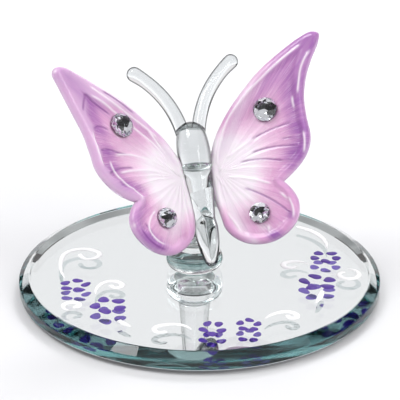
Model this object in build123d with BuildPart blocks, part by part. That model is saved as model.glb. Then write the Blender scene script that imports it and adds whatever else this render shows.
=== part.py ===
from build123d import *
import math
import os

os.makedirs("parts", exist_ok=True)

# Round bevelled mirror and the coats and bumpers under it
mirror_diameter = 101.6
mirror_thickness = 4.0
bevel_width = 4.0
bevel_drop = 2.2
silver_thickness = 0.1
backing_thickness = 0.2
bumper_diameter = 8.0
bumper_height = 1.2
bumper_circle_diameter = 76.0
bumper_count = 4
bumper_round = 0.5

# Glass pedestal: a blob foot drawn up into a tapered stem
pedestal_x = -1.4
foot_glue_thickness = 0.2
foot_contact_radius = 5.6
foot_widest_radius = 7.9
foot_widest_height = 3.2
foot_height = 6.4
stem_base_radius = 4.2
stem_top_radius = 3.0

# Perch: where the stem's centre line meets the body's centre line
perch_height = 39.0

# Glass body, tail to head
body_yaw = -14.0
body_pitch = 50.0
body_length = 40.5
perch_to_head_end = 9.5
thorax_radius = 4.5

# Round caps at the two ends of the body
tail_cap_radius = 1.7
head_cap_radius = 4.0

# Body outline between the caps: share of the length from the tail, share of the thorax radius
body_outline = (
    (0.15, 0.58),
    (0.26, 0.66),
    (0.32, 0.61),
    (0.41, 0.71),
    (0.57, 0.85),
    (0.79, 1.0),
)

# Glass antennae, bowed rods that start inside the head
antenna_radius = 2.0
antenna_root_spread = 2.2
antenna_root_depth = 3.0
antenna_bow = 2.0

# Antenna tips: node name, side (right is 1), spread from the body's axis, reach past the head
antenna_tips = (
    ("antenna_left", -1, 12.9, 14.9),
    ("antenna_right", 1, 14.4, 16.4),
)

# Pressed glass wings, one piece a side, on a hinge line under the body's centre line
wing_yaw = -19.0
wing_pitch = 49.5
wing_roll = 3.5
wing_dihedral = 26.0
hinge_depth = 2.8
wing_thickness = 3.0
wing_rim_bevel = 0.9
wing_span = 41.0
forewing_rise = 25.0
hindwing_reach = 25.4
hindwing_drop = 27.8
notch_reach = 22.8
notch_drop = 12.4
costa_root_reach = 5.4
wing_inner_reach = 4.5
wing_root_reach = 2.5

# Wing edges as shares of the wing's own reach and rise or drop
costa_shares = ((0.30, 0.37), (0.57, 0.735), (0.86, 0.97))
tip_shares = ((0.95, 1.0), (1.0, 0.95), (0.975, 0.85))
margin_shares = ((0.875, 0.50), (0.808, 0.08), (0.76, -0.25), (0.65, -0.41))
hind_shares = ((1.0, -0.66), (0.89, -0.885), (0.55, -1.0), (0.27, -0.865))
inner_end_share = -0.74
root_low_share = -0.43
root_high_share = -0.03

# Round flat-backed crystals, glued to the wings' upper faces
upper_crystal_diameter = 6.5
lower_crystal_diameter = 5.5
crystal_side_count = 16
crystal_girdle_height = 0.5
crystal_crown_height = 1.8
crystal_table_share = 0.5
foil_thickness = 0.1
crystal_glue_thickness = 0.15
crystal_glue_margin = 0.3

# Crystal seats: node name, side (right is 1), reach from the hinge line, rise along it, diameter
crystal_seats = (
    ("right_upper", 1, 22.7, 7.1, upper_crystal_diameter),
    ("right_lower", 1, 14.9, -20.0, lower_crystal_diameter),
    ("left_upper", -1, 22.6, 8.4, upper_crystal_diameter),
    ("left_lower", -1, 14.4, -17.4, lower_crystal_diameter),
)

# Enamel flowers and scrolls painted on the mirror
enamel_thickness = 0.12
dab_count = 5
dab_length = 2.9
dab_width = 2.5
flower_ring_radius = 3.3
scroll_width = 0.9

# Flower places: node name, margin inside the mirror's rim, azimuth, turn of the ring
flower_places = (
    ("left_outer", 15.2, -161.8, 8.0),
    ("left_inner", 17.7, -136.6, 43.0),
    ("front_left", 15.2, -84.6, 50.0),
    ("front_right", 14.9, -69.3, 12.0),
    ("right_back", 14.8, 10.2, 52.0),
    ("right_front", 17.3, -16.2, 25.0),
)

# Scroll strokes of each spray: start's margin inside the rim and azimuth, heading there,
# then the radius and sweep of each arc that follows
scroll_strokes = {
    "left": (
        (16.2, 166.2, -103.0, (2.7, 233.0), (5.5, 132.0), (25.6, 31.0)),
        (24.5, -155.4, -100.0, (1.5, 216.0), (3.1, 117.0), (8.0, 47.0)),
        (10.0, -144.7, -37.0, (1.0, 151.0), (2.2, 235.0)),
        (13.3, -123.8, -55.0, (13.3, 20.0)),
    ),
    "front": (
        (13.0, -103.0, -123.0, (1.7, -198.0), (6.4, -59.0), (4.7, -49.0)),
        (14.3, -50.6, -119.0, (1.25, 225.0), (2.85, 85.0), (7.5, 51.0)),
    ),
    "right": (
        (11.8, 43.1, -27.0, (14.5, -70.0)),
        (24.0, 1.3, -108.0, (1.8, -215.0), (4.5, -95.0)),
        (10.5, -4.8, 175.0, (1.7, 121.0), (2.8, 132.0), (3.3, 119.0)),
        (14.8, -23.8, -98.0, (24.2, -17.0)),
    ),
}

# Levels and radii that follow from the sizes above
backing_bottom_z = bumper_height
silver_bottom_z = backing_bottom_z + backing_thickness
glass_bottom_z = silver_bottom_z + silver_thickness
glass_top_z = glass_bottom_z + mirror_thickness
foot_bottom_z = glass_top_z + foot_glue_thickness
mirror_radius = mirror_diameter / 2
perch = Vector(pedestal_x, 0, perch_height)
tail_to_perch = body_length - perch_to_head_end


def tilted_plane(origin, yaw, pitch, roll):
    """A plane with x to the figure's right, y towards its head and z out of its back."""
    turn, rise, lean = (math.radians(angle) for angle in (yaw, pitch, roll))
    headward = Vector(math.sin(turn) * math.cos(rise), math.cos(turn) * math.cos(rise), math.sin(rise))
    level_right = Vector(math.cos(turn), -math.sin(turn), 0)
    level_up = level_right.cross(headward)
    right = level_right * math.cos(lean) + level_up * math.sin(lean)
    return Plane(origin=origin, x_dir=right, z_dir=right.cross(headward))


def raised_point(plane, x, y, height=0):
    """The point of a plane at x, y and a height above it."""
    return plane.origin + plane.x_dir * x + plane.y_dir * y + plane.z_dir * height


def place_on_mirror(rim_margin, azimuth):
    """The point of the mirror's top face at a margin inside its rim."""
    angle = math.radians(azimuth)
    distance = mirror_radius - rim_margin
    return Vector(distance * math.cos(angle), distance * math.sin(angle), glass_top_z)


# Mirror glass: a disc whose top rim is bevelled all round
with BuildPart() as mirror_glass:
    with BuildSketch(Plane.XZ):
        with BuildLine():
            Polyline(
                (0, glass_bottom_z),
                (mirror_radius, glass_bottom_z),
                (mirror_radius, glass_top_z - bevel_drop),
                (mirror_radius - bevel_width, glass_top_z),
                (0, glass_top_z),
                close=True,
            )
        make_face()
    revolve(axis=Axis.Z)
mirror_glass.part.label = "mirror_glass"
export_step(mirror_glass.part, "parts/mirror_glass.step")

# Silver coat under the glass
with BuildPart() as mirror_silvering:
    with BuildSketch(Plane.XY.offset(silver_bottom_z)):
        Circle(mirror_radius)
    extrude(amount=silver_thickness)
mirror_silvering.part.label = "mirror_silvering"
export_step(mirror_silvering.part, "parts/mirror_silvering.step")

# Backing paint under the silver
with BuildPart() as mirror_backing:
    with BuildSketch(Plane.XY.offset(backing_bottom_z)):
        Circle(mirror_radius)
    extrude(amount=backing_thickness)
mirror_backing.part.label = "mirror_backing"
export_step(mirror_backing.part, "parts/mirror_backing.step")

# Clear stick-on bumpers, rounded where they meet the table
with BuildPart() as bumper_feet:
    with BuildSketch(Plane.XY):
        with PolarLocations(bumper_circle_diameter / 2, bumper_count, start_angle=180 / bumper_count):
            Circle(bumper_diameter / 2)
    extrude(amount=bumper_height)
    fillet(bumper_feet.faces().group_by(Axis.Z)[0].edges(), bumper_round)
bumper_feet.part.label = "bumper_feet"
export_step(bumper_feet.part, "parts/bumper_feet.step")

# Body: a solid turned about its own tilted centre line
body_plane = tilted_plane(perch, body_yaw, body_pitch, 0)
body_points = [
    (thorax_radius * radius_share, body_length * length_share - tail_to_perch)
    for length_share, radius_share in body_outline
]
tail_cap_centre = tail_cap_radius - tail_to_perch
head_cap_centre = perch_to_head_end - head_cap_radius
with BuildPart() as body:
    with BuildSketch(body_plane):
        with BuildLine():
            CenterArc((0, tail_cap_centre), tail_cap_radius, -90, 90)
            Spline(
                (tail_cap_radius, tail_cap_centre),
                *body_points,
                (head_cap_radius, head_cap_centre),
                tangents=((0, 1), (0, 1)),
            )
            CenterArc((0, head_cap_centre), head_cap_radius, 0, 90)
            Line((0, head_cap_centre + head_cap_radius), (0, tail_cap_centre - tail_cap_radius))
        make_face()
    revolve(axis=Axis(body_plane.origin, body_plane.y_dir))
body.part.label = "body"
export_step(body.part, "parts/body.step")

# Glue film under the foot
with BuildPart() as foot_adhesive:
    with BuildSketch(Plane((pedestal_x, 0, glass_top_z))):
        Circle(foot_contact_radius)
    extrude(amount=foot_glue_thickness)
foot_adhesive.part.label = "foot_adhesive"
export_step(foot_adhesive.part, "parts/foot_adhesive.step")

# Pedestal: blob foot and stem in one piece, its top moulded to the body's underside
pedestal_plane = Plane(origin=(pedestal_x, 0, foot_bottom_z), x_dir=(1, 0, 0), z_dir=(0, -1, 0))
stem_top = perch_height - foot_bottom_z
with BuildPart() as pedestal:
    with BuildSketch(pedestal_plane):
        with BuildLine():
            Line((0, 0), (foot_contact_radius, 0))
            ThreePointArc(
                (foot_contact_radius, 0),
                (foot_widest_radius, foot_widest_height),
                (stem_base_radius, foot_height),
            )
            Line((stem_base_radius, foot_height), (stem_top_radius, stem_top))
            Line((stem_top_radius, stem_top), (0, stem_top))
            Line((0, stem_top), (0, 0))
        make_face()
    revolve(axis=Axis(pedestal_plane.origin, (0, 0, 1)))
    add(body.part, mode=Mode.SUBTRACT)
pedestal.part.label = "pedestal"
export_step(pedestal.part, "parts/pedestal.step")

# Antennae: round rods bowed outwards, fused to the head, with round tips
head_plane = Plane(
    origin=raised_point(body_plane, 0, perch_to_head_end),
    x_dir=body_plane.x_dir,
    z_dir=body_plane.z_dir,
)
for antenna_name, side, tip_spread, tip_reach in antenna_tips:
    with BuildPart() as antenna:
        with BuildLine(head_plane) as antenna_path:
            SagittaArc(
                (side * antenna_root_spread, -antenna_root_depth),
                (side * tip_spread, tip_reach),
                side * antenna_bow,
            )
        with BuildSketch(Plane(origin=antenna_path.line @ 0, z_dir=antenna_path.line % 0)):
            Circle(antenna_radius)
        sweep(path=antenna_path.line)
        with Locations(antenna_path.line @ 1):
            Sphere(antenna_radius)
        add(body.part, mode=Mode.SUBTRACT)
    antenna.part.label = antenna_name
    export_step(antenna.part, f"parts/{antenna_name}.step")

# Wings: a slab with an eased rim, cut to sit against the body and the stem
hinge_plane = tilted_plane(perch, wing_yaw, wing_pitch, wing_roll).offset(-hinge_depth)


def wing_plane(side):
    """A wing's middle plane, raised by the dihedral angle about the hinge line."""
    lift = math.radians(wing_dihedral) * side
    right = hinge_plane.x_dir * math.cos(lift) + hinge_plane.z_dir * math.sin(lift)
    outward = hinge_plane.z_dir * math.cos(lift) - hinge_plane.x_dir * math.sin(lift)
    return Plane(origin=hinge_plane.origin, x_dir=right, z_dir=outward)


def wing_points(side, shares, reach, rise):
    """Points of a wing's edge, mirrored for the left wing."""
    return [(side * reach * across, rise * along) for across, along in shares]


for wing_name, side in (("wing_left", -1), ("wing_right", 1)):
    root = (side * costa_root_reach, 0)
    notch = (side * notch_reach, -notch_drop)
    inner_end = (side * wing_inner_reach, hindwing_drop * inner_end_share)
    root_low = (side * wing_root_reach, hindwing_drop * root_low_share)
    root_high = (side * wing_root_reach, hindwing_drop * root_high_share)
    fore_edge = wing_points(side, costa_shares + tip_shares + margin_shares, wing_span, forewing_rise)
    hind_edge = wing_points(side, hind_shares, hindwing_reach, hindwing_drop)
    with BuildPart() as wing:
        with BuildSketch(wing_plane(side).offset(-wing_thickness / 2)):
            with BuildLine():
                Spline(root, *fore_edge, notch)
                Spline(notch, *hind_edge, inner_end)
                Polyline(inner_end, root_low, root_high, root)
            make_face()
        extrude(amount=wing_thickness)
        flat_edges = wing.faces().filter_by(wing_plane(side)).edges()
        chamfer([edge for edge in flat_edges if edge.geom_type != GeomType.LINE], wing_rim_bevel)
        add(body.part, mode=Mode.SUBTRACT)
        add(pedestal.part, mode=Mode.SUBTRACT)
    wing.part.label = wing_name
    export_step(wing.part, f"parts/{wing_name}.step")

# Crystals with their foils and glue films, stacked on the wings' upper faces
for seat_name, side, seat_reach, seat_rise, crystal_diameter in crystal_seats:
    wing_face = wing_plane(side).offset(wing_thickness / 2)
    seat = Plane(
        origin=raised_point(wing_face, side * seat_reach, seat_rise),
        x_dir=wing_face.x_dir,
        z_dir=wing_face.z_dir,
    )
    crystal_radius = crystal_diameter / 2
    foil_plane = seat.offset(crystal_glue_thickness)
    girdle_plane = foil_plane.offset(foil_thickness)
    crown_plane = girdle_plane.offset(crystal_girdle_height)

    with BuildPart() as crystal_glue:
        with BuildSketch(seat):
            Circle(crystal_radius - crystal_glue_margin)
        extrude(amount=crystal_glue_thickness)
    crystal_glue.part.label = f"crystal_glue_{seat_name}"
    export_step(crystal_glue.part, f"parts/crystal_glue_{seat_name}.step")

    with BuildPart() as crystal_foil:
        with BuildSketch(foil_plane):
            RegularPolygon(crystal_radius, crystal_side_count)
        extrude(amount=foil_thickness)
    crystal_foil.part.label = f"crystal_foil_{seat_name}"
    export_step(crystal_foil.part, f"parts/crystal_foil_{seat_name}.step")

    with BuildPart() as crystal:
        with BuildSketch(girdle_plane):
            RegularPolygon(crystal_radius, crystal_side_count)
        extrude(amount=crystal_girdle_height)
        with BuildSketch(crown_plane):
            RegularPolygon(crystal_radius, crystal_side_count)
        with BuildSketch(crown_plane.offset(crystal_crown_height)):
            RegularPolygon(crystal_radius * crystal_table_share, crystal_side_count)
        loft(ruled=True)
    crystal.part.label = f"crystal_{seat_name}"
    export_step(crystal.part, f"parts/crystal_{seat_name}.step")

# Enamel flowers: a ring of oval dabs each
for flower_name, rim_margin, flower_azimuth, ring_turn in flower_places:
    with BuildPart() as flower:
        with BuildSketch(Plane(place_on_mirror(rim_margin, flower_azimuth))):
            with PolarLocations(flower_ring_radius, dab_count, start_angle=ring_turn):
                Ellipse(dab_width / 2, dab_length / 2)
        extrude(amount=enamel_thickness)
    flower.part.label = f"enamel_flower_{flower_name}"
    export_step(flower.part, f"parts/enamel_flower_{flower_name}.step")

# Enamel scrolls: tight curls that open arc by arc into longer tails
for spray_name, strokes in scroll_strokes.items():
    with BuildPart() as scrolls:
        for rim_margin, azimuth, heading, *arcs in strokes:
            with BuildSketch(Plane(place_on_mirror(rim_margin, azimuth))):
                with BuildLine():
                    stroke_end = (0, 0)
                    stroke_way = (math.cos(math.radians(heading)), math.sin(math.radians(heading)))
                    for arc_radius, arc_sweep in arcs:
                        arc = JernArc(start=stroke_end, tangent=stroke_way, radius=arc_radius, arc_size=arc_sweep)
                        stroke_end, stroke_way = arc @ 1, arc % 1
                trace(line_width=scroll_width)
            extrude(amount=enamel_thickness)
    scrolls.part.label = f"enamel_scrolls_{spray_name}"
    export_step(scrolls.part, f"parts/enamel_scrolls_{spray_name}.step")
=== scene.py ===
"""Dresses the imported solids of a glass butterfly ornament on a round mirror."""
import math
import random

import bmesh
import bpy
import numpy as np
from bpy.props import FloatProperty, FloatVectorProperty, PointerProperty
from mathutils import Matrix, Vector


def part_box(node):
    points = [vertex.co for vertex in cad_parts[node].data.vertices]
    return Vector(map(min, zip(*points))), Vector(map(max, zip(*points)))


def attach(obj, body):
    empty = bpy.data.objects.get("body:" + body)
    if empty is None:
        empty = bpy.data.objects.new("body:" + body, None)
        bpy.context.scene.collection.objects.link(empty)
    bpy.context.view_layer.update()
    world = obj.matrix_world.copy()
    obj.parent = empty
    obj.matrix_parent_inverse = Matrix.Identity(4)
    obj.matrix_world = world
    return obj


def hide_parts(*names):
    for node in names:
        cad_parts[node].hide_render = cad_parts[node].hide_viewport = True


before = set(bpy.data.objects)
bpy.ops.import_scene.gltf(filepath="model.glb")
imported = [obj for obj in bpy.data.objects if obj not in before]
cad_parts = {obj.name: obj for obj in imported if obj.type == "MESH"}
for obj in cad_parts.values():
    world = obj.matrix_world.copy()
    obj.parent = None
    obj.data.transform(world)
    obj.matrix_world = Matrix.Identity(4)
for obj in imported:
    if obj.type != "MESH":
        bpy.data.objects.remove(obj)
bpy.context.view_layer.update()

bl_info = {
    "name": "Glass butterfly ornament",
    "version": (1, 0, 0),
    "blender": (4, 5, 0),
    "location": "View3D > Sidebar > Butterfly",
    "description": "Builds the glass, wings, crystals and painted mirror of a butterfly ornament",
    "category": "Add Mesh",
}

MM = 0.001

# How far a coat or a stroke sits inside the glass it lies on, so that no two faces share a plane
SUNK = 0.02 * MM

# Sides of the mirror's round shapes, and the eased edge of the thin coats under it
MIRROR_SIDES = 256
COAT_ARRIS = 0.02 * MM

# Inset of the glue film's upper edge and rise of the stem's cap
FILM_INSET = 0.15 * MM
STEM_CAP = 0.1 * MM

# Where the stem meets the body, and how body and wings are turned, as on the solids
PERCH = Vector((-1.4, 0.0, 39.0)) * MM
BODY_YAW, BODY_PITCH = -14.0, 50.0
WING_YAW, WING_PITCH, WING_ROLL = -19.0, 49.5, 3.5
WING_DIHEDRAL = 26.0
HINGE_DEPTH = 2.8 * MM

# Body profile in millimetres: place along the body from the perch, radius
BODY_PROFILE = (
    (-31.0, 0.0), (-30.8, 0.8), (-30.2, 1.4), (-29.3, 1.8), (-24.9, 2.9), (-20.5, 3.2), (-18.0, 2.9),
    (-14.4, 3.2), (-7.9, 3.85), (1.0, 4.5), (5.5, 4.1), (7.6, 3.3), (8.9, 1.9), (9.5, 0.0),
)

# Pedestal profile in millimetres: height above the glue film, radius
PEDESTAL_PROFILE = (
    (0.0, 5.4), (0.3, 6.1), (1.3, 7.3), (2.8, 7.85), (4.4, 7.4), (5.6, 6.0), (6.6, 4.95), (8.2, 4.4),
    (12.0, 4.05), (19.0, 3.6), (26.0, 3.15), (28.6, 2.85), (29.5, 2.5), (29.85, 1.9),
)

# Wing edges in millimetres: reach from the hinge line, rise along it
FORE_EDGE = {
    "right": (
        (5.0, -1.0), (7.7, 4.3), (12.4, 9.9), (17.0, 14.0), (23.3, 18.7), (30.7, 22.4), (36.0, 24.5),
        (39.5, 25.2), (41.4, 24.2), (40.9, 22.2), (37.7, 17.5), (35.4, 13.5), (33.5, 8.0), (32.9, 2.5),
        (32.7, -3.0), (31.2, -6.6), (28.5, -9.5), (22.9, -13.0),
    ),
    "left": (
        (5.0, -0.8), (8.8, 5.2), (12.2, 8.7), (16.1, 12.7), (20.3, 16.1), (25.6, 19.1), (32.1, 22.6),
        (36.6, 24.7), (39.0, 24.5), (40.1, 23.0), (39.0, 19.5), (36.1, 11.4), (34.3, 6.4), (33.3, 0.9),
        (32.6, -3.4), (30.5, -7.0), (27.0, -10.2), (22.3, -12.3),
    ),
}
HIND_EDGE = {
    "right": (
        (22.9, -13.0), (24.9, -16.4), (25.6, -19.5), (24.5, -23.5), (21.2, -26.5), (17.0, -28.0),
        (12.5, -27.8), (8.8, -26.3), (5.6, -23.2), (4.4, -20.3),
    ),
    "left": (
        (22.3, -12.3), (24.2, -14.6), (25.3, -17.5), (24.8, -20.5), (22.5, -23.8), (19.0, -26.2),
        (14.5, -27.1), (10.3, -26.0), (6.5, -23.2), (4.7, -20.0),
    ),
}
INNER_REACH = ((4.0, -16.5), (3.4, -12.0), (3.6, -7.0), (4.1, -3.0))
FORE_STEPS, HIND_STEPS, INNER_STEPS, RING_STEPS = 240, 160, 50, 84
WING_HUB = (12.0, -6.0)

# Veins fan out from one root; their angles run from the hind wing's inner edge to the leading edge
VEIN_ROOT = (6.5, -6.0)
VEIN_ANGLES = {
    "right": (
        -100.0, -88.0, -76.0, -62.0, -52.0, -43.0, -34.0, -24.0, -15.0, -6.8, 1.3, 6.4, 17.0, 27.0,
        40.0, 52.0,
    ),
    "left": (-100.0, -86.0, -74.0, -61.0, -46.0, -33.0, -22.0, -12.0, -4.0, 2.7, 15.5, 28.0, 40.0, 52.0),
}

# The veins' swirl in degrees, and the bearings between which it changes and dies out
FORE_SWIRL, HIND_SWIRL = 16.0, -7.0
SWIRL_CHANGE, SWIRL_END = (-30.0, -4.0), (24.0, 46.0)

# Bearing of the tip and spread of its wider lip, and where the scallops end before it
TIP_ANGLE, TIP_SPREAD = 42.0, 9.0
SCALLOP_END = (36.0, 44.0)

# Where the colour sets in, in millimetres from the vein root,
# and what the hind wing's lip keeps of its colour
COLOUR_START = (4.0, 17.0)
HIND_LIP_SHARE, HIND_LIP_END = 0.3, (-32.0, -18.0)

# How the two wings differ: extra lip at the tip and at the veins, depth of the hollows, colour of the lip
TIP_MARGIN = {"right": 1.6, "left": 3.0}
SCALLOP = {"right": 0.2, "left": 0.8}
HOLLOWS = {"right": 0.5, "left": 1.0}
LIP_SHARE = {"right": 0.15, "left": 0.8}

# Thin raised lines pressed into each wing, in millimetres as the edges are; the finish paints them near
# white as painted highlights
RIDGES = {
    "right": (
        ((6.6, -4.6), (7.0, -1.9), (11.7, 6.8), (17.4, 12.0), (22.2, 15.2), (29.4, 19.1), (36.4, 22.1)),
        ((38.6, 20.0), (35.1, 16.4), (33.0, 11.5), (32.1, 8.6)),
        ((30.6, 9.3), (30.3, 6.8), (30.4, 4.9)),
        ((31.2, -1.0), (31.0, -4.3), (29.8, -7.6)),
        ((5.6, -6.3), (6.4, -8.6), (7.1, -10.5)),
        ((9.0, -2.9), (14.5, -0.9), (18.8, 0.6)),
        ((8.3, -8.0), (12.5, -9.4), (16.5, -11.2), (20.0, -13.3)),
        ((23.1, -17.3), (23.8, -21.5), (23.0, -24.0)),
        ((6.2, -17.1), (7.7, -20.6), (9.1, -24.1)),
        ((16.3, -23.2), (16.2, -24.6), (16.0, -26.2)),
        ((21.0, -15.7), (22.2, -17.1), (23.0, -18.6)),
    ),
    "left": (
        ((32.2, 6.9), (32.1, 3.9), (31.8, 1.2), (31.2, -1.8), (30.8, -3.2)),
        ((28.3, -0.9), (28.1, -3.5), (26.7, -5.9), (24.2, -8.3), (22.1, -9.9), (20.9, -11.4), (20.9, -12.6)),
        ((16.8, -14.7), (19.2, -17.1), (20.3, -19.3), (20.2, -21.0), (18.3, -23.4), (16.2, -24.7)),
        ((24.9, -17.6), (24.9, -19.0), (24.5, -20.2)),
        ((30.9, 16.8), (26.8, 14.7), (23.3, 12.1), (18.2, 7.7), (12.2, 2.4), (9.9, -2.3)),
        ((14.8, 8.7), (11.8, 3.8), (9.5, 0.2)),
        ((26.7, 0.2), (20.1, 0.1), (14.3, -1.6), (10.5, -3.6)),
        ((26.4, -4.8), (19.0, -3.9), (11.8, -4.3)),
        ((30.6, 19.4), (26.2, 16.4), (20.9, 12.7), (15.7, 8.8), (11.3, 4.9)),
        ((29.1, 20.4), (23.6, 17.1), (18.6, 13.6), (13.7, 9.0)),
        ((40.3, 22.0), (39.8, 23.2), (38.8, 23.9)),
    ),
}

# Thin grooves in which the colour gathers
GROOVES = {
    "right": (
        ((16.5, 0.1), (20.3, 1.0), (24.9, 1.6), (29.2, 1.8)),
        ((24.5, -1.8), (26.7, -2.1), (28.8, -2.5)),
        ((15.9, -3.4), (19.3, -3.2), (24.1, -3.7), (29.3, -5.0)),
        ((12.2, -5.0), (16.6, -5.4), (20.8, -6.4), (24.6, -8.1)),
        ((11.9, -11.9), (15.8, -14.6), (19.4, -17.9), (23.3, -22.7)),
    ),
    "left": (
        ((34.1, 11.7), (33.1, 14.9), (32.0, 16.8), (30.0, 14.9), (27.2, 12.9), (24.8, 11.3)),
        ((31.9, 6.9), (30.4, 8.0), (28.6, 8.0), (26.3, 6.8)),
        ((31.5, 0.9), (29.4, 1.8), (27.4, 1.6), (25.1, 0.8), (22.1, 0.4)),
        ((30.2, -5.4), (28.0, -4.2), (25.9, -3.5), (20.9, -3.3)),
        ((23.3, -8.8), (22.1, -9.9), (20.8, -11.2)),
        ((27.0, 18.2), (24.0, 16.6), (20.5, 14.2), (17.5, 11.6)),
        ((23.4, -19.6), (21.6, -22.8), (19.0, -25.0), (16.2, -26.0)),
        ((21.9, -18.2), (20.6, -19.6), (19.6, -22.3)),
    ),
}

# Sprayed purple patches, and pale patches that are partly paler glass and partly painted highlight, on each
# wing:
# fan angle and its spread, share of the way to the edge and its spread, amount of colour
PURPLE_PATCHES = {
    "right": (
        (41.0, 10.0, 0.97, 0.2, 0.7), (27.0, 12.0, 0.97, 0.18, 0.65), (11.0, 11.0, 0.96, 0.18, 0.8),
        (-3.0, 8.0, 0.95, 0.18, 0.9), (-13.0, 5.0, 0.97, 0.1, 0.5), (48.5, 3.6, 0.87, 0.13, 0.3),
        (-62.0, 5.0, 0.97, 0.09, 0.95), (-45.0, 4.0, 0.93, 0.06, 0.6), (-30.0, 9.0, 0.97, 0.08, 0.15),
    ),
    "left": (
        (40.0, 5.0, 0.86, 0.07, 0.6), (36.0, 7.0, 0.88, 0.08, 0.4), (27.0, 6.0, 0.86, 0.1, 0.55),
        (15.0, 6.0, 0.83, 0.13, 0.6), (4.0, 6.0, 0.85, 0.13, 0.65), (-8.0, 7.0, 0.88, 0.12, 0.65),
        (-50.0, 15.0, 0.95, 0.12, 0.95), (-31.0, 7.0, 0.93, 0.12, 0.5), (42.0, 3.5, 0.93, 0.03, 0.5),
        (42.0, 6.0, 0.98, 0.06, 0.42), (-15.0, 8.0, 0.82, 0.14, 0.45),
    ),
}
PALE_AND_HIGHLIGHT_PATCHES = {
    "right": (
        (-81.0, 6.0, 0.8, 0.12, 0.85), (-76.0, 3.0, 0.97, 0.05, 0.6), (-63.0, 4.0, 0.83, 0.05, 0.6),
        (59.0, 6.0, 0.9, 0.2, 0.5),
    ),
    "left": ((53.0, 6.0, 0.95, 0.1, 0.3), (-67.0, 10.0, 0.7, 0.15, 0.6)),
}

# Antennae in millimetres: spread from the body's axis and reach past the head, of the roots and of each tip
ANTENNA_ROOT = (2.2, -3.0)
ANTENNA_TIPS = {"left": (12.9, 14.9), "right": (14.4, 16.4)}
ANTENNA_BOW = 2.1

# Foil under a crystal, and the glue bead in millimetres: radius past the crystal's,
# height over the film's middle
FOIL_THICKNESS = 0.1 * MM
GLUE_BEAD = ((0.1, -0.75), (0.0, -0.3), (-0.25, 0.0))

# Painted scrolls in millimetres and degrees: margin inside the rim, azimuth, heading,
# then the radius and sweep of each arc
SCROLLS = {
    "left": (
        (16.2, 166.2, -103.0, (2.7, 233.0), (5.5, 132.0), (25.6, 31.0)),
        (24.5, -155.4, -100.0, (1.5, 216.0), (3.1, 117.0), (8.0, 47.0)),
        (10.0, -144.7, -37.0, (1.0, 151.0), (2.2, 235.0)),
        (13.3, -123.8, -55.0, (13.3, 20.0)),
    ),
    "front": (
        (13.0, -103.0, -123.0, (1.7, -198.0), (6.4, -59.0), (4.7, -49.0)),
        (14.3, -50.6, -119.0, (1.25, 225.0), (2.85, 85.0), (7.5, 51.0)),
    ),
    "right": (
        (11.8, 43.1, -27.0, (14.5, -70.0)),
        (24.0, 1.3, -108.0, (1.8, -215.0), (4.5, -95.0)),
        (10.5, -4.8, 175.0, (1.7, 121.0), (2.8, 132.0), (3.3, 119.0)),
        (14.8, -23.8, -98.0, (24.2, -17.0)),
    ),
}

# Degrees between two points of a scroll's arc, and the fewest steps that an arc has
ARC_STEP, LEAST_STEPS = 7.0, 8

# How wide and how deep each flower was dabbed, as shares of the solids' flowers
FLOWERS = {
    "left_outer": (0.91, 0.82),
    "left_inner": (1.05, 1.04),
    "front_left": (0.75, 0.9),
    "front_right": (0.72, 0.8),
    "right_back": (0.97, 0.82),
    "right_front": (1.11, 1.04),
}
SEATS = ("left_upper", "left_lower", "right_upper", "right_lower")
SIDES = {"left": -1, "right": 1}

# Stage in metres: reach of the floor, what the lamps point at, and each lamp's place, size and power
FLOOR_REACH = 4.0
LIT_POINT = (0.0, 0.0, 0.03)
LAMPS = {
    "key_lamp": ((-0.5, -0.12, 0.88), (0.5, 0.5), 4.9),
    "fill_lamp": ((0.65, -0.45, 0.6), (0.5, 0.6), 3.9),
    "back_lamp": ((0.15, 0.55, 0.7), (0.3, 0.3), 3.0),
}

# The floor's glow near the ornament and far off, and the distances in metres between which it changes
NEAR_GLOW, FAR_GLOW = (0.15, 0.15, 0.15), (1.0, 1.0, 1.0)
FLOOR_FADE = (0.07, 0.5)

# Studio cards in metres: the line on the floor plan that each stands on, its lowest and highest edge
CARDS = {
    "front": ((-0.55, -0.5), (0.3, -0.5), 0.1, 0.75),
    "back_low": ((-2.0, 2.0), (2.0, 2.0), 1.2, 1.42),
    "back_high": ((-2.0, 2.0), (2.0, 2.0), 1.42, 3.2),
    "left": ((-0.32, -0.42), (-0.32, 0.5), 0.05, 0.5),
    "right": ((0.32, -0.42), (0.32, 0.5), 0.05, 0.5),
}
DARK_TONES = (0.012, 0.012, 0.012), (0.02, 0.02, 0.02)
PALE_TONES = (0.4, 0.44, 0.44), (0.85, 0.89, 0.88)

# Dark ribbon behind the mirror: radius and height in metres, where it starts and how far it goes in degrees
FLAG_RADIUS, FLAG_LOW, FLAG_HIGH = 0.061, 0.0085, 0.0115
FLAG_START, FLAG_SWEEP, FLAG_STEPS = -15.0, 210.0, 60

# Light crosses the whole mirror inside the glass before it leaves by the bevel
LIGHT_BOUNCES = 48


def srgb(red, green, blue):
    """A display colour of 0 to 255 a channel as a linear colour."""
    shares = [level / 255 for level in (red, green, blue)]
    return tuple(s / 12.92 if s <= 0.04045 else ((s + 0.055) / 1.055) ** 2.4 for s in shares)


def length(name, description, millimetres):
    """A length that a user may change."""
    return FloatProperty(
        name=name, description=description, default=millimetres * MM, min=0.0, unit="LENGTH"
    )


def share(name, description, default):
    """A factor between nothing and all."""
    return FloatProperty(
        name=name, description=description, default=default, min=0.0, max=1.0, subtype="FACTOR"
    )


def angle(name, description, degrees):
    """An angle that a user may change."""
    return FloatProperty(name=name, description=description, default=math.radians(degrees), unit="ROTATION")


def colour(name, description, red, green, blue):
    """A colour that a user may change."""
    return FloatVectorProperty(
        name=name, description=description, default=srgb(red, green, blue), min=0.0, max=1.0, subtype="COLOR"
    )


# What clear glass keeps of the light along its depth, the grey of the painted shade at its edges, and how
# softly that painted shade sets in
SMOKE = srgb(205, 210, 211)
PAINTED_EDGE_SHADE = srgb(28, 32, 34)
PAINTED_SHADE_FADE = 0.26

# How strongly the mirror's glass takes its tint along its width
FLOAT_GLASS_DENSITY = 22.0

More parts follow.
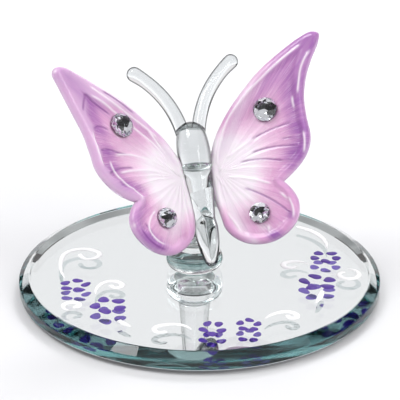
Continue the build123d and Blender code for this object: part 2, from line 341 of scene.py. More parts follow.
# Colours of the bumpers and the glue, which a user has no need to change
BUMPER_GEL = srgb(244, 246, 247)
FOOT_GLUE = srgb(246, 248, 246)
CRYSTAL_GLUE = srgb(247, 246, 248)


class MirrorSettings(bpy.types.PropertyGroup):
    """Sizes and colours of the mirror and what lies under it."""

    edge_trim: length("Edge trim", "How far the polished edge lies inside the solid's edge", 0.8)
    bevel_width: length("Bevel width", "Width of the ground band round the mirror", 2.9)
    bevel_drop: length("Bevel drop", "How far the ground band falls to the edge", 1.6)
    arris: length("Arris", "Width of the polished edges", 0.18)
    bumper_round: length("Bumper round", "Rounding of the clear bumpers", 0.5)
    glass_tint: colour("Glass tint", "Colour that thick float glass takes on", 112, 208, 206)
    silver: colour("Silver", "Reflecting coat under the glass", 252, 248, 249)
    backing: colour("Backing paint", "Grey paint over the silver", 118, 124, 130)


class GlassSettings(bpy.types.PropertyGroup):
    """The clear drawn glass."""

    clear: colour("Clear glass", "Body, antennae and pedestal", 252, 253, 253)
    ripple: share("Ripple", "Strength of the hand-drawn waviness", 0.08)
    antenna_radius: length("Antenna radius", "Radius of the antenna rods", 1.95)
    antenna_bulb: length("Antenna bulb", "Extra radius at the rounded tips", 0.15)


class WingSettings(bpy.types.PropertyGroup):
    """Relief and colours of the wings."""

    lip_radius: length("Lip radius", "Rounding of the wing's edge", 1.6)
    lip_height: length("Lip height", "Half thickness at the raised lip", 1.65)
    panel_height: length("Panel height", "Half thickness of the pressed panel", 1.25)
    lip_width: length("Lip width", "Width of the smooth lip round the panel", 2.2)
    vein_depth: length("Vein depth", "Hollow between two veins", 0.16)
    ridge_height: length("Ridge height", "Rise of the thin pressed lines", 0.16)
    ridge_width: length("Ridge width", "Half width of the thin pressed lines", 0.3)
    groove_depth: length("Groove depth", "Depth of the thin coloured lines", 0.12)
    # Also the colour of the painted highlights on the pale patches and raised lines
    root_and_highlight_white: colour("Root", "Milky colour near the body", 248, 238, 247)
    blush: colour("Blush", "Pale pink of the panels", 242, 214, 234)
    pink: colour("Pink", "Pink towards the outer panel", 226, 175, 213)
    rose: colour("Rose", "Deeper pink near the wing's edge", 216, 163, 207)
    purple: colour("Purple", "Sprayed purple patches", 158, 100, 175)
    lilac: colour("Lilac lip", "Thin colour on the lip", 222, 190, 222)
    vein: colour("Vein line", "Colour that gathers along the veins", 132, 70, 146)
    milk: length("Milkiness", "How far light spreads inside the wing", 1.0)


class CrystalSettings(bpy.types.PropertyGroup):
    """Cut and colours of the crystals."""

    girdle: length("Girdle height", "Straight edge of a crystal", 0.5)
    crown: length("Crown height", "Faceted part of a crystal", 1.8)
    pavilion: length("Pavilion", "Depth of the shallow cut back", 0.15)
    table: share("Table", "Width of the flat top as a share of the crystal", 0.52)
    glass: colour("Crystal", "Colour of the crystal glass", 253, 254, 254)
    foil: colour("Foil", "Reflecting coat on the crystal's back", 232, 234, 238)


class EnamelSettings(bpy.types.PropertyGroup):
    """Sizes and colours of the painted flowers and scrolls."""

    dab_length: length("Dab length", "Long way across a flower's dab", 3.1)
    dab_width: length("Dab width", "Short way across a flower's dab", 2.9)
    dome: length("Dome", "Height of a dab of enamel", 0.3)
    stroke: length("Stroke width", "Width of a scroll's brush stroke", 1.5)
    purple: colour("Flower purple", "Enamel of the flowers", 86, 58, 152)
    white: colour("Scroll white", "Enamel of the scrolls", 250, 251, 252)


class StageSettings(bpy.types.PropertyGroup):
    """Camera, floor and light."""

    distance: length("Camera distance", "From the camera to what it aims at", 415.1)
    aim_height: length("Aim height", "Height of the point the camera aims at", 25.84)
    aim_side: length("Aim side", "How far right of the middle the camera aims", 0.14)
    elevation: angle("Elevation", "How far the camera looks down", 23.89)
    view_angle: angle("View angle", "Angle across the picture", 14.956)
    floor: colour("Floor", "Pale floor", 218, 219, 221)
    floor_glow: share("Floor glow", "Share of the floor's white that no shadow reaches", 0.5)
    ambient: share("Ambient", "Light from all around", 0.56)


SETTINGS = {
    "ornament_mirror": MirrorSettings,
    "ornament_glass": GlassSettings,
    "ornament_wings": WingSettings,
    "ornament_crystals": CrystalSettings,
    "ornament_enamel": EnamelSettings,
    "ornament_stage": StageSettings,
}


# Shader tools


class Socket:
    """A node's output that can stand in a Python sum, with numbers on either side."""

    def __init__(self, shader, output):
        self.shader = shader
        self.output = output

    def other(self, name):
        """Another output of the same node."""
        return Socket(self.shader, self.output.node.outputs[name])

    def maths(self, operation, first, second):
        """A Math node on two values."""
        return self.shader.node("ShaderNodeMath", {"operation": operation}, {0: first, 1: second})

    def __add__(self, value):
        return self.maths("ADD", self, value)

    def __sub__(self, value):
        return self.maths("SUBTRACT", self, value)

    def __rsub__(self, value):
        return self.maths("SUBTRACT", value, self)

    def __mul__(self, value):
        return self.maths("MULTIPLY", self, value)

    __radd__ = __add__
    __rmul__ = __mul__


class Shader:
    """A material's or a world's nodes, made one by one."""

    def __init__(self, owner):
        owner.use_nodes = True
        self.owner = owner
        self.tree = owner.node_tree
        self.tree.nodes.clear()

    def node(self, kind, settings=None, sockets=None, output=0):
        """A new node: its settings are set first, then its sockets get values or links."""
        made = self.tree.nodes.new(kind)
        for name, value in (settings or {}).items():
            if name == "stops":
                self.set_stops(made.color_ramp, value)
            else:
                setattr(made, name, value)
        for name, value in (sockets or {}).items():
            if isinstance(value, Socket):
                self.tree.links.new(value.output, made.inputs[name])
            else:
                made.inputs[name].default_value = value
        return Socket(self, made.outputs[output]) if made.outputs else made

    def set_stops(self, ramp, stops):
        """Give a ramp its stops, each a place and a colour."""
        while len(ramp.elements) < len(stops):
            ramp.elements.new(1.0)
        for element, (place, value) in zip(ramp.elements, stops):
            element.position = place
            element.color = (*value, 1.0)

    def smooth(self, value, low, high):
        """A soft step from 0 at low to 1 at high."""
        sockets = {"Value": value, "From Min": low, "From Max": high}
        return self.node("ShaderNodeMapRange", {"interpolation_type": "SMOOTHSTEP"}, sockets)

    def blend(self, factor, first, second):
        """A colour between two."""
        sockets = {0: factor, 6: opaque(first), 7: opaque(second)}
        return self.node("ShaderNodeMix", {"data_type": "RGBA"}, sockets, output=2)

    def noise(self, vector, scale, detail=3.0):
        """Even grey noise."""
        return self.node("ShaderNodeTexNoise", None, {"Vector": vector, "Scale": scale, "Detail": detail})

    def bump(self, height, distance, strength):
        """A normal that follows a height."""
        return self.node(
            "ShaderNodeBump", None, {"Height": height, "Distance": distance, "Strength": strength}
        )

    def absorption(self, tint, density):
        """What glass keeps of the light along its depth."""
        return self.node("ShaderNodeVolumeAbsorption", None, {"Color": opaque(tint), "Density": density})

    def finish(self, sockets, volume=None):
        """The principled surface that ends a material."""
        surface = self.node("ShaderNodeBsdfPrincipled", None, sockets)
        ends = {"Surface": surface}
        if volume is not None:
            ends["Volume"] = volume
        self.node("ShaderNodeOutputMaterial", None, ends)
        return self.owner


def opaque(value):
    """A plain colour with full alpha; a socket as it is."""
    return value if isinstance(value, Socket) else (*value, 1.0)


def new_shader(name):
    """The empty nodes of a new material."""
    return Shader(bpy.data.materials.new(name))


def place_of(shader):
    """The piece's own coordinates, in metres."""
    return shader.node("ShaderNodeTexCoord").other("Object")


def clear_glass(name, tint, ripple, index=1.5, depth=0.0, rim=0.0, band=0.4):
    """Hand-drawn clear glass with a faint waviness, a few dull spots, a grey depth, and painted shade: rim
    and band grey the base colour where the surface turns away from the viewer.
    """
    shader = new_shader(name)
    place = place_of(shader)
    # Painted shade: the base colour goes grey where the surface turns away from the viewer, standing in for
    # dark surroundings seen through the glass
    facing = shader.node("ShaderNodeLayerWeight", None, {"Blend": 0.5}).other("Facing")
    edge = shader.smooth(facing, band, band + PAINTED_SHADE_FADE) * rim
    wave = shader.noise(place, 160.0, 1.0)
    dull = shader.smooth(shader.noise(place, 420.0, 4.0), 0.62, 0.8)
    grey = shader.absorption(SMOKE, depth) if depth else None
    return shader.finish(
        {
            "Base Color": shader.blend(edge, tint, PAINTED_EDGE_SHADE),
            "Roughness": dull * 0.03,
            "IOR": index,
            "Transmission Weight": 1.0,
            "Normal": shader.bump(wave, 0.4 * MM, ripple),
        },
        grey,
    )


def float_glass(settings):
    """The mirror's glass, clear across and green along its width."""
    shader = new_shader("bevelled_float_glass")
    smear = shader.smooth(shader.noise(place_of(shader), 90.0, 4.0), 0.55, 0.8)
    return shader.finish(
        {
            "Base Color": (1.0, 1.0, 1.0, 1.0),
            "Roughness": 0.02 + smear * 0.01,
            "IOR": 1.52,
            "Transmission Weight": 1.0,
        },
        shader.absorption(settings.glass_tint, FLOAT_GLASS_DENSITY),
    )


def bright_coat(name, tint, grain, low, high):
    """A reflecting coat whose polish varies a little."""
    shader = new_shader(name)
    patch = shader.noise(place_of(shader), grain, 4.0)
    return shader.finish(
        {
            "Base Color": opaque(tint),
            "Metallic": 1.0,
            "Roughness": low + (high - low) * shader.smooth(patch, 0.45, 0.75),
        }
    )


def back_paint(settings):
    """Rolled grey paint with a slight orange peel."""
    shader = new_shader("rolled_back_paint")
    place = place_of(shader)
    peel = shader.noise(place, 1800.0, 2.0)
    cloud = shader.noise(place, 60.0, 3.0)
    tint = tuple(settings.backing)
    return shader.finish(
        {
            "Base Color": shader.blend(cloud, [0.8 * c for c in tint], [1.15 * c for c in tint]),
            "Roughness": 0.5 + 0.2 * cloud,
            "Normal": shader.bump(peel, 0.05 * MM, 0.4),
        }
    )


def enamel(name, tint, paling):
    """Brushed enamel: paler in streaks and glossy on top, with painted light underneath: faces that look
    down into the glass get a brighter, nearly metal colour.
    """
    shader = new_shader(name)
    place = place_of(shader)
    streak = shader.noise(place, 900.0, 3.0)
    paler = [min(1.0, c + paling) for c in tint]
    painted_underside_light = [min(1.0, 2.0 * c) for c in tint]
    # Painted light: faces that look down into the glass get double the colour and a nearly metal finish,
    # standing in for the light that reaches the paint's underside through the mirror
    facing = shader.node("ShaderNodeNewGeometry").other("True Normal")
    upward = shader.node("ShaderNodeSeparateXYZ", None, {0: facing}).other("Z")
    under = shader.smooth(0 - upward, 0.5, 0.9)
    top = shader.blend(shader.smooth(streak, 0.5, 0.8), tint, paler)
    return shader.finish(
        {
            "Base Color": shader.blend(under, top, painted_underside_light),
            "Metallic": under * 0.9,
            "Roughness": (0.4 + 0.2 * streak) * (1 - under * 0.9),
            "Normal": shader.bump(streak, 0.03 * MM, 0.5),
            "Coat Weight": 0.1,
        }
    )


def parts_of(shader, name):
    """The three parts of a field that is stored on a mesh's points."""
    field = shader.node("ShaderNodeAttribute", {"attribute_name": name}, output=1)
    first = shader.node("ShaderNodeSeparateXYZ", None, {0: field})
    return first, first.other("Y"), first.other("Z")


def sprayed_wing(settings):
    """Milky pressed glass sprayed from pink to purple, with colour gathered along the grooves, pale patches
    that are partly painted highlight, painted highlights on the raised lines and a painted paler outer edge.
    """
    shader = new_shader("sprayed_wing_glass")
    tone, inside, fan = parts_of(shader, "wing_field")
    purple, pale, ridge_and_highlight = parts_of(shader, "wing_spray")
    groove, lip, edge = parts_of(shader, "wing_line")
    along = shader.node("ShaderNodeCombineXYZ", None, {0: fan * 0.9, 1: tone * 1.6})
    streak = shader.noise(along, 1.0, 5.0)
    fine = shader.noise(along, 6.0, 3.0)
    cloud = shader.noise(place_of(shader), 120.0, 3.0)
    thin = shader.noise(along, 11.0, 2.0)
    uneven = (streak - 0.5) * 0.9 + (cloud - 0.5) * 0.5
    patch = shader.smooth(purple + purple * uneven, 0.05, 0.95)
    light_lines = shader.smooth(fine, 0.54, 0.7) * inside * (1 - patch * 0.6)
    dark_lines = shader.smooth(thin, 0.58, 0.72) * inside * shader.smooth(tone, 0.25, 0.6)
    # Painted light: the outermost edge is made paler, standing in for light shining through the thin glass
    # edge
    outermost = 1 - shader.smooth(edge, 0.0, 0.7)

    tints = (
        (0.22, settings.root_and_highlight_white), (0.48, settings.blush), (0.78, settings.pink), (1.0, settings.rose),
    )
    spread = tone + (streak - 0.5) * 0.36 + (cloud - 0.5) * 0.16
    whole = shader.node("ShaderNodeValToRGB", {"stops": tints}, {0: spread})
    layers = (
        (lip * (0.55 + streak * 0.9), settings.lilac),
        (patch * (1 - lip * 0.6), settings.purple),
        # Pale patches, partly paler glass and partly painted highlight
        (pale, settings.root_and_highlight_white),
        (groove * 0.7, settings.vein),
        (light_lines * 0.65, settings.root_and_highlight_white),
        (dark_lines * 0.42, settings.vein),
        # Painted highlight: the raised lines are painted near white
        (ridge_and_highlight * 0.85, settings.root_and_highlight_white),
        (outermost * 0.45, settings.lilac),
    )
    for mask, tint in layers:
        whole = shader.blend(mask, whole, tint)
    return shader.finish(
        {
            "Base Color": whole,
            "Roughness": 0.12 + 0.1 * fine,
            "IOR": 1.5,
            "Subsurface Weight": 0.6,
            "Subsurface Radius": (1.0, 0.8, 1.0),
            "Subsurface Scale": settings.milk,
            "Coat Weight": 0.4,
            "Coat Roughness": 0.03,
            "Normal": shader.bump(streak, 0.2 * MM, 0.3),
        }
    )


# Shape tools


def smooth_curve(points, count):
    """Evenly spaced points on a smooth curve through the given ones."""
    knots = np.asarray(points, float)
    places = np.concatenate([[0.0], np.cumsum(np.linalg.norm(np.diff(knots, axis=0), axis=1) ** 0.5)])
    slopes = np.gradient(knots, places, axis=0, edge_order=2)
    fine = np.linspace(0.0, places[-1], 40 * len(knots))
    spot = np.clip(np.searchsorted(places, fine, side="right") - 1, 0, len(knots) - 2)
    span = (places[spot + 1] - places[spot])[:, None]
    t = (fine - places[spot])[:, None] / span
    curve = (
        (2 * t**3 - 3 * t**2 + 1) * knots[spot]
        + (t**3 - 2 * t**2 + t) * span * slopes[spot]
        + (3 * t**2 - 2 * t**3) * knots[spot + 1]
        + (t**3 - t**2) * span * slopes[spot + 1]
    )
    lengths = np.concatenate([[0.0], np.cumsum(np.linalg.norm(np.diff(curve, axis=0), axis=1))])
    even = np.linspace(0.0, lengths[-1], count)
    return np.stack([np.interp(even, lengths, column) for column in curve.T], axis=1)


def soft_step(value, low, high):
    """A soft step from 0 at low to 1 at high."""
    t = np.clip((value - low) / (high - low), 0.0, 1.0)
    return t * t * (3 - 2 * t)


def eased(profile, size):
    """A profile whose inner corners are cut by a small flat."""
    corners = [Vector(point) for point in profile]
    points = [corners[0]]
    for before, corner, after in zip(corners, corners[1:], corners[2:]):
        points.append(corner + (before - corner).normalized() * size)
        points.append(corner + (after - corner).normalized() * size)
    return [tuple(point) for point in points + [corners[-1]]]


def ring_faces(rings, sides, first=0):
    """Quads between rings of points that follow each other."""
    faces = []
    for ring in range(rings - 1):
        for k in range(sides):
            a = first + ring * sides + k
            b = first + ring * sides + (k + 1) % sides
            faces.append((a, b, b + sides, a + sides))
    return faces


def turned(profile, origin, across, along, sides=96):
    """A closed solid turned about a line, from a profile of radius and height between two poles."""
    third = along.cross(across)
    turns = [2 * math.pi * k / sides for k in range(sides)]
    points = [origin + along * profile[0][1]]
    for radius, height in profile[1:-1]:
        middle = origin + along * height
        points += [middle + (across * math.cos(t) + third * math.sin(t)) * radius for t in turns]
    points.append(origin + along * profile[-1][1])
    faces = [(0, 1 + (k + 1) % sides, 1 + k) for k in range(sides)]
    faces += ring_faces(len(profile) - 2, sides, 1)
    last = len(points) - 1
    start = last - sides
    faces += [(start + k, start + (k + 1) % sides, last) for k in range(sides)]
    return points, faces


def turned_upright(profile, x, y, sides=128):
    """A solid turned about an upright line."""
    return turned(profile, Vector((x, y, 0.0)), Vector((1, 0, 0)), Vector((0, 0, 1)), sides)


def joined(shapes):
    """Several closed shapes as one list of points and faces."""
    points, faces = [], []
    for shape_points, shape_faces in shapes:
        start = len(points)
        points += list(shape_points)
        faces += [tuple(start + k for k in face) for face in shape_faces]
    return points, faces


def add_piece(name, shape, material, slot, *nodes, sharp=50.0):
    """A mesh piece that rides on the ornament and stands for its solids."""
    mesh = bpy.data.meshes.new(name)
    mesh.from_pydata([tuple(point) for point in shape[0]], [], shape[1])
    mesh.shade_smooth()
    mesh.set_sharp_from_angle(angle=math.radians(sharp))
    mesh.materials.append(material)
    piece = bpy.data.objects.new(name, mesh)
    bpy.context.scene.collection.objects.link(piece)
    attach(piece, "root")
    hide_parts(*nodes)
    return piece


def tilted_axes(yaw, pitch, roll=0.0):
    """Vectors to the figure's right, towards its head and out of its back."""
    turn, rise, lean = (math.radians(value) for value in (yaw, pitch, roll))
    head = Vector((math.sin(turn) * math.cos(rise), math.cos(turn) * math.cos(rise), math.sin(rise)))
    level = Vector((math.cos(turn), -math.sin(turn), 0.0))
    right = level * math.cos(lean) + level.cross(head) * math.sin(lean)
    return right, head, right.cross(head)


def wing_axes(side):
    """A wing's corner on the hinge line, its reach and rise directions and its upper normal."""
    right, head, back = tilted_axes(WING_YAW, WING_PITCH, WING_ROLL)
    lift = math.radians(WING_DIHEDRAL)
    reach = right * (side * math.cos(lift)) + back * math.sin(lift)
    normal = back * math.cos(lift) - right * (side * math.sin(lift))
    return PERCH - back * HINGE_DEPTH, reach, head, normal


def middle_of(node):
    """The middle of a solid's box."""
    low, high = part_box(node)
    return (Vector(low) + Vector(high)) / 2


def loose_middles(node):
    """The box middles of a node's separate solids."""
    shape = bmesh.new()
    shape.from_mesh(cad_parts[node].data)
    bmesh.ops.remove_doubles(shape, verts=shape.verts, dist=0.001 * MM)
    waiting = set(shape.verts)
    middles = []
    while waiting:
        group = [waiting.pop()]
        for vertex in group:
            linked = {edge.other_vert(vertex) for edge in vertex.link_edges} & waiting
            waiting -= linked
            group.extend(linked)
        low = Vector([min(v.co[k] for v in group) for k in range(3)])
        high = Vector([max(v.co[k] for v in group) for k in range(3)])
        middles.append((low + high) / 2)
    shape.free()
    return sorted(middles, key=lambda point: (round(point.x, 6), round(point.y, 6)))


# Wing surface


def wing_outline(name):
    """The wing's edge as evenly spaced points, from the leading edge's root round to it again."""
    start, end = FORE_EDGE[name][0], HIND_EDGE[name][-1]
    stretches = (
        smooth_curve(FORE_EDGE[name], FORE_STEPS),
        smooth_curve(HIND_EDGE[name], HIND_STEPS),
        smooth_curve((end, *INNER_REACH, start), INNER_STEPS),
    )
    return np.concatenate([stretch[:-1] for stretch in stretches])


def line_distance(points, line):
    """How far each point lies from a line of straight runs."""
    best = np.full(len(points), np.inf)
    for start, stop in zip(line, line[1:]):
        run = stop - start
        offset = points - start
        t = np.clip(offset @ run / (run @ run), 0.0, 1.0)
        best = np.minimum(best, np.linalg.norm(offset - t[:, None] * run, axis=1))
    return best


def near_lines(lines, points, width):
    """1 on the lines and 0 away from them, trailing off at their ends."""
    best = np.zeros(len(points))
    for line in lines:
        curve = smooth_curve(line, count=40)
        near = np.exp(-((line_distance(points, curve) / width) ** 2))
        ends = [np.linalg.norm(points - curve[k], axis=1) for k in (0, -1)]
        best = np.maximum(best, near * soft_step(np.minimum(*ends), 0.0, 1.6))
    return best


def patch_share(patches, fan, reach):
    """How much of a spray colour lies on each point."""
    bare = np.ones(len(fan))
    for middle, spread, share_out, share_spread, amount in patches:
        turn = ((fan - middle) / spread) ** 2
        out = ((reach - share_out) / share_spread) ** 2
        bare = bare * (1 - amount * np.exp(-turn - out))
    return 1 - bare


class WingFields:
    """What the relief and the colour of a wing follow, for points in its own plane."""

    def __init__(self, name, points, outline):
        settings = bpy.context.scene.ornament_wings
        self.edge = line_distance(points, np.concatenate([outline, outline[:1]]))
        spoke = points - np.array(VEIN_ROOT)
        radius = np.linalg.norm(spoke, axis=1)
        self.reach = radius / (radius + self.edge + 1e-6)
        bearing = np.degrees(np.arctan2(spoke[:, 1], spoke[:, 0]))
        swirl = HIND_SWIRL + (FORE_SWIRL - HIND_SWIRL) * soft_step(bearing, *SWIRL_CHANGE)
        swirl = swirl * (1 - soft_step(bearing, *SWIRL_END))
        self.fan = bearing - swirl * (1 - self.reach)
        veins = VEIN_ANGLES[name]
        cell = np.interp(self.fan, veins, np.arange(len(veins)))
        hollow = np.sin(np.pi * (cell % 1.0))
        self.hollow = hollow * HOLLOWS[name]
        tip = TIP_MARGIN[name] * np.exp(-(((bearing - TIP_ANGLE) / TIP_SPREAD) ** 2))
        outer = soft_step(self.reach, 0.5, 0.8) * (1 - soft_step(bearing, *SCALLOP_END))
        scallop = SCALLOP[name] * (1 - hollow) * outer
        self.depth = self.edge - settings.lip_width / MM - tip - scallop
        self.inside = soft_step(self.depth, -0.9, 0.6)
        far = soft_step(radius, *COLOUR_START)
        self.tone = self.reach * far
        fore = HIND_LIP_SHARE + (1 - HIND_LIP_SHARE) * soft_step(self.fan, *HIND_LIP_END)
        self.lip = (1 - self.inside) * far * fore * LIP_SHARE[name]
        width = settings.ridge_width / MM
        # The raised lines, which the finish also paints near white as highlights
        self.ridge_and_highlight = near_lines(RIDGES[name], points, width)
        vein = 0.3 * (1 - hollow) ** 8 * soft_step(self.reach, 0.4, 0.8) * self.inside
        self.groove = np.maximum(near_lines(GROOVES[name], points, width), vein)
        self.purple = patch_share(PURPLE_PATCHES[name], self.fan, self.reach)
        # Pale patches: partly paler glass, partly painted highlight
        self.pale = patch_share(PALE_AND_HIGHLIGHT_PATCHES[name], self.fan, self.reach)


def wing_relief(fields):
    """Height of the pressed surface above the wing's middle plane."""
    settings = bpy.context.scene.ornament_wings
    lip = np.clip(fields.edge * MM / settings.lip_radius, 0.0, 1.0)
    height = settings.lip_height * np.sqrt(1 - (1 - lip) ** 2)
    height = height - (settings.lip_height - settings.panel_height) * fields.inside
    strength = soft_step(fields.reach, 0.15, 0.5) * fields.inside
    height = height - settings.vein_depth * strength * fields.hollow
    lines = settings.ridge_height * fields.ridge_and_highlight - settings.groove_depth * fields.groove
    return height + lines * soft_step(fields.edge, 0.4, 1.2)


def wing_shape(name):
    """A wing's points, faces and the fields that its colour follows."""
    outline = wing_outline(name)
    count = len(outline)
    hub = np.array(WING_HUB)
    shares = 1 - (1 - np.linspace(0.0, 1.0, RING_STEPS)[1:]) ** 1.5
    rings = hub + shares[:, None, None] * (outline - hub)[None]
    flat = np.concatenate([hub[None], rings.reshape(-1, 2)])
    fields = WingFields(name, flat, outline)
    height = wing_relief(fields)
    height[-count:] = 0.0
    corner, reach_way, rise_way, normal = (np.array(v) for v in wing_axes(SIDES[name]))
    plane = corner + MM * (flat[:, :1] * reach_way + flat[:, 1:] * rise_way)
    front = plane + height[:, None] * normal
    back = plane[:-count] - 0.8 * height[:-count, None] * normal
    inner = len(flat) - count
    front_faces = [(0, 1 + k, 1 + (k + 1) % count) for k in range(count)]
    front_faces += [(a, d, c, b) for a, b, c, d in ring_faces(RING_STEPS - 1, count, 1)]

    def behind(k):
        """The back face shares the front face's outermost ring."""
        return k if k >= inner else len(flat) + k

    back_faces = [tuple(behind(k) for k in reversed(face)) for face in front_faces]
    faces = front_faces + back_faces
    if SIDES[name] > 0:
        faces = [tuple(reversed(face)) for face in faces]
    return (np.concatenate([front, back]), faces), fields


def store_fields(piece, fields):
    """Keep the wing's fields on its points, front and back, for its finish."""
    vectors = {
        "wing_field": (fields.tone, fields.inside, fields.fan),
        "wing_spray": (fields.purple, fields.pale, fields.ridge_and_highlight),
        "wing_line": (fields.groove, fields.lip, fields.edge),
    }
    count = len(fields.edge)
    back = len(piece.data.vertices) - count
    for name, parts in vectors.items():
        values = np.stack(parts, axis=1).astype(np.float32)
        target = piece.data.attributes.new(name, "FLOAT_VECTOR", "POINT")
        target.data.foreach_set("vector", np.concatenate([values, values[:back]]).ravel())


# Small shapes


def points_middle(points):
    """The mean of some points."""
    return sum(points, Vector()) / len(points)


def antenna_shape(name, settings):
    """A bowed rod with a rounded, slightly swollen tip, from inside the head."""
    right, head, back = tilted_axes(BODY_YAW, BODY_PITCH)
    crown = PERCH + head * (BODY_PROFILE[-1][0] * MM)
    side = SIDES[name]
    root, tip = np.array(ANTENNA_ROOT), np.array(ANTENNA_TIPS[name])
    run = tip - root
    bow = ANTENNA_BOW * np.array((-run[1], run[0])) / np.linalg.norm(run)
    route = smooth_curve((root, (root + tip) / 2 + bow, tip), count=48) * MM
    swell = soft_step(np.linspace(0.0, 1.0, len(route)), 0.82, 1.0)
    radii = settings.antenna_radius + settings.antenna_bulb * swell
    ways = np.gradient(route, axis=0)
    ways /= np.linalg.norm(ways, axis=1)[:, None]
    spots = list(zip(route, ways, radii))
    end, end_way, end_radius = spots[-1]
    for t in np.linspace(0.0, math.pi / 2, 12)[1:-1]:
        spots.append((end + end_way * end_radius * math.sin(t), end_way, end_radius * math.cos(t)))
    sides = 40
    points = []
    for place, way, radius in spots:
        middle = crown + right * (side * place[0]) + head * place[1]
        across = right * (side * way[1]) - head * way[0]
        for k in range(sides):
            t = side * 2 * math.pi * k / sides
            points.append(middle + (across * math.cos(t) + back * math.sin(t)) * radius)
    faces = ring_faces(len(spots), sides)
    tip = end + end_way * end_radius
    points += [points_middle(points[:sides]), crown + right * (side * tip[0]) + head * tip[1]]
    root_pole, tip_pole = len(points) - 2, len(points) - 1
    start = (len(spots) - 1) * sides
    faces += [(root_pole, (k + 1) % sides, k) for k in range(sides)]
    faces += [(start + k, start + (k + 1) % sides, tip_pole) for k in range(sides)]
    return points, [tuple(reversed(face)) for face in faces]


def crystal_shape(origin, across, normal, radius, settings):
    """A round crystal with a shallow back, a table, eight stars, eight kites and sixteen small facets."""
    third = normal.cross(across)
    top = settings.girdle + settings.crown
    table = settings.table * radius
    step = math.pi / 8
    middle = 0.8 * radius
    slope = (middle * math.cos(step) - table) / (radius - table)
    middle_height = top - settings.crown * slope

    def spot(distance, turn, height):
        return origin + (across * math.cos(turn) + third * math.sin(turn)) * distance + normal * height

    # Points in order: back rim, girdle, middle of the crown, table, point of the back
    points = [spot(radius * (math.cos(step) if k % 2 else 1.0), k * step, 0.0) for k in range(16)]
    points += [spot(radius, k * step, settings.girdle) for k in range(16)]
    points += [spot(middle, (2 * k + 1) * step, middle_height) for k in range(8)]
    points += [spot(table, 2 * k * step, top) for k in range(8)]
    points.append(spot(0.0, 0.0, -settings.pavilion))
    rim, crown, flat, back = 16, 32, 40, 48
    faces = [((k + 2) % 16, (k + 1) % 16, k, back) for k in range(0, 16, 2)]
    faces.append(tuple(range(flat, back)))
    faces += [(k, (k + 1) % 16, rim + (k + 1) % 16, rim + k) for k in range(16)]
    for k in range(8):
        star, before = crown + k, crown + (k - 1) % 8
        table_here, table_next = flat + k, flat + (k + 1) % 8
        girdle = [rim + (2 * k + j) % 16 for j in range(3)]
        faces += [(girdle[0], girdle[1], star), (girdle[1], girdle[2], star)]
        faces += [(before, girdle[0], star, table_here), (star, table_next, table_here)]
    return points, faces


def dab_shape(middle, long_way, settings, draw):
    """One domed oval dab of enamel, pressed out a little unevenly."""
    up = Vector((0, 0, 1))
    short_way = up.cross(long_way)
    sides, rings = 28, 6
    lean = draw.uniform(-0.3, 0.3)
    wobble = draw.uniform(0.0, 2 * math.pi)
    points = []
    for ring in range(rings + 1):
        rise = ring / rings * math.pi / 2
        for k in range(sides):
            t = 2 * math.pi * k / sides
            uneven = 0.1 * math.sin(2 * t + wobble) + 0.08 * math.sin(3 * t - wobble)
            grow = math.cos(rise * 0.96) * (1 + uneven)
            along = math.cos(t) * settings.dab_length / 2 * grow
            across = (math.sin(t) + lean * math.cos(t)) * settings.dab_width / 2 * grow
            height = settings.dome * math.sin(rise) * (1 + 0.15 * math.sin(t + wobble))
            points.append(middle + long_way * along + short_way * across + up * height)
    faces = ring_faces(rings + 1, sides)
    faces.append(tuple(range(rings * sides, (rings + 1) * sides)))
    faces.append(tuple(range(sides - 1, -1, -1)))
    return points, faces


def scroll_route(radius, stroke):
    """A scroll's centre line: a curl that opens arc by arc into a tail."""
    margin, azimuth, heading, *arcs = stroke
    bearing = math.radians(azimuth)
    distance = radius - margin * MM
    place = np.array([distance * math.cos(bearing), distance * math.sin(bearing)])
    way = math.radians(heading)
    route = [place.copy()]
    for bend, sweep in arcs:
        steps = max(LEAST_STEPS, int(abs(sweep) / ARC_STEP))
        turn = math.radians(sweep) / steps
        stride = 2 * bend * MM * math.sin(abs(turn) / 2)
        for _ in range(steps):
            way += turn / 2
            place = place + stride * np.array([math.cos(way), math.sin(way)])
            way += turn / 2
            route.append(place.copy())
    return smooth_curve(route, count=72)


def stroke_shape(route, top, settings):
    """A brush stroke: a blob where the brush starts, swelling once and trailing off."""
    way = np.gradient(route, axis=0)
    way /= np.linalg.norm(way, axis=1)[:, None]
    across = np.stack([-way[:, 1], way[:, 0]], axis=1)
    share_along = np.linspace(0.0, 1.0, len(route))
    swell = 0.62 + 0.5 * np.sin(np.pi * share_along**0.8) + 0.5 * np.exp(-((share_along / 0.05) ** 2))
    half = settings.stroke / 2 * swell * np.sqrt(np.clip(1 - share_along**6, 0.02, 1.0))
    half = half * np.sqrt(np.clip(share_along / 0.03, 0.15, 1.0))
    bends = np.linspace(0.0, math.pi, 9)
    points = []
    for place, side, width in zip(route, across, half):
        for bend in bends:
            spot = place - side * width * math.cos(bend)
            rise = min(settings.dome, 0.35 * width) * math.sin(bend)
            points.append(Vector((spot[0], spot[1], top + rise)))
    sides = len(bends)
    faces = ring_faces(len(route), sides)
    faces.append(tuple(range(sides - 1, -1, -1)))
    faces.append(tuple(range(len(points) - sides, len(points))))
    return points, [tuple(reversed(face)) for face in faces]


def mirror_shape(radius, settings):
    """The glass disc with its ground band and polished edges."""
    low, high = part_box("mirror_glass")
    profile = (
        (0.0, low[2]),
        (radius, low[2]),
        (radius, high[2] - settings.bevel_drop),
        (radius - settings.bevel_width, high[2]),
        (0.0, high[2]),
    )
    return turned_upright(eased(profile, settings.arris), 0.0, 0.0, MIRROR_SIDES)


def coat_shape(node, radius):
    """A thin coat that reaches a little into what lies above it."""
    low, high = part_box(node)
    top = high[2] + SUNK
    profile = ((0.0, low[2]), (radius, low[2]), (radius, top), (0.0, top))
    return turned_upright(eased(profile, COAT_ARRIS), 0.0, 0.0, MIRROR_SIDES)


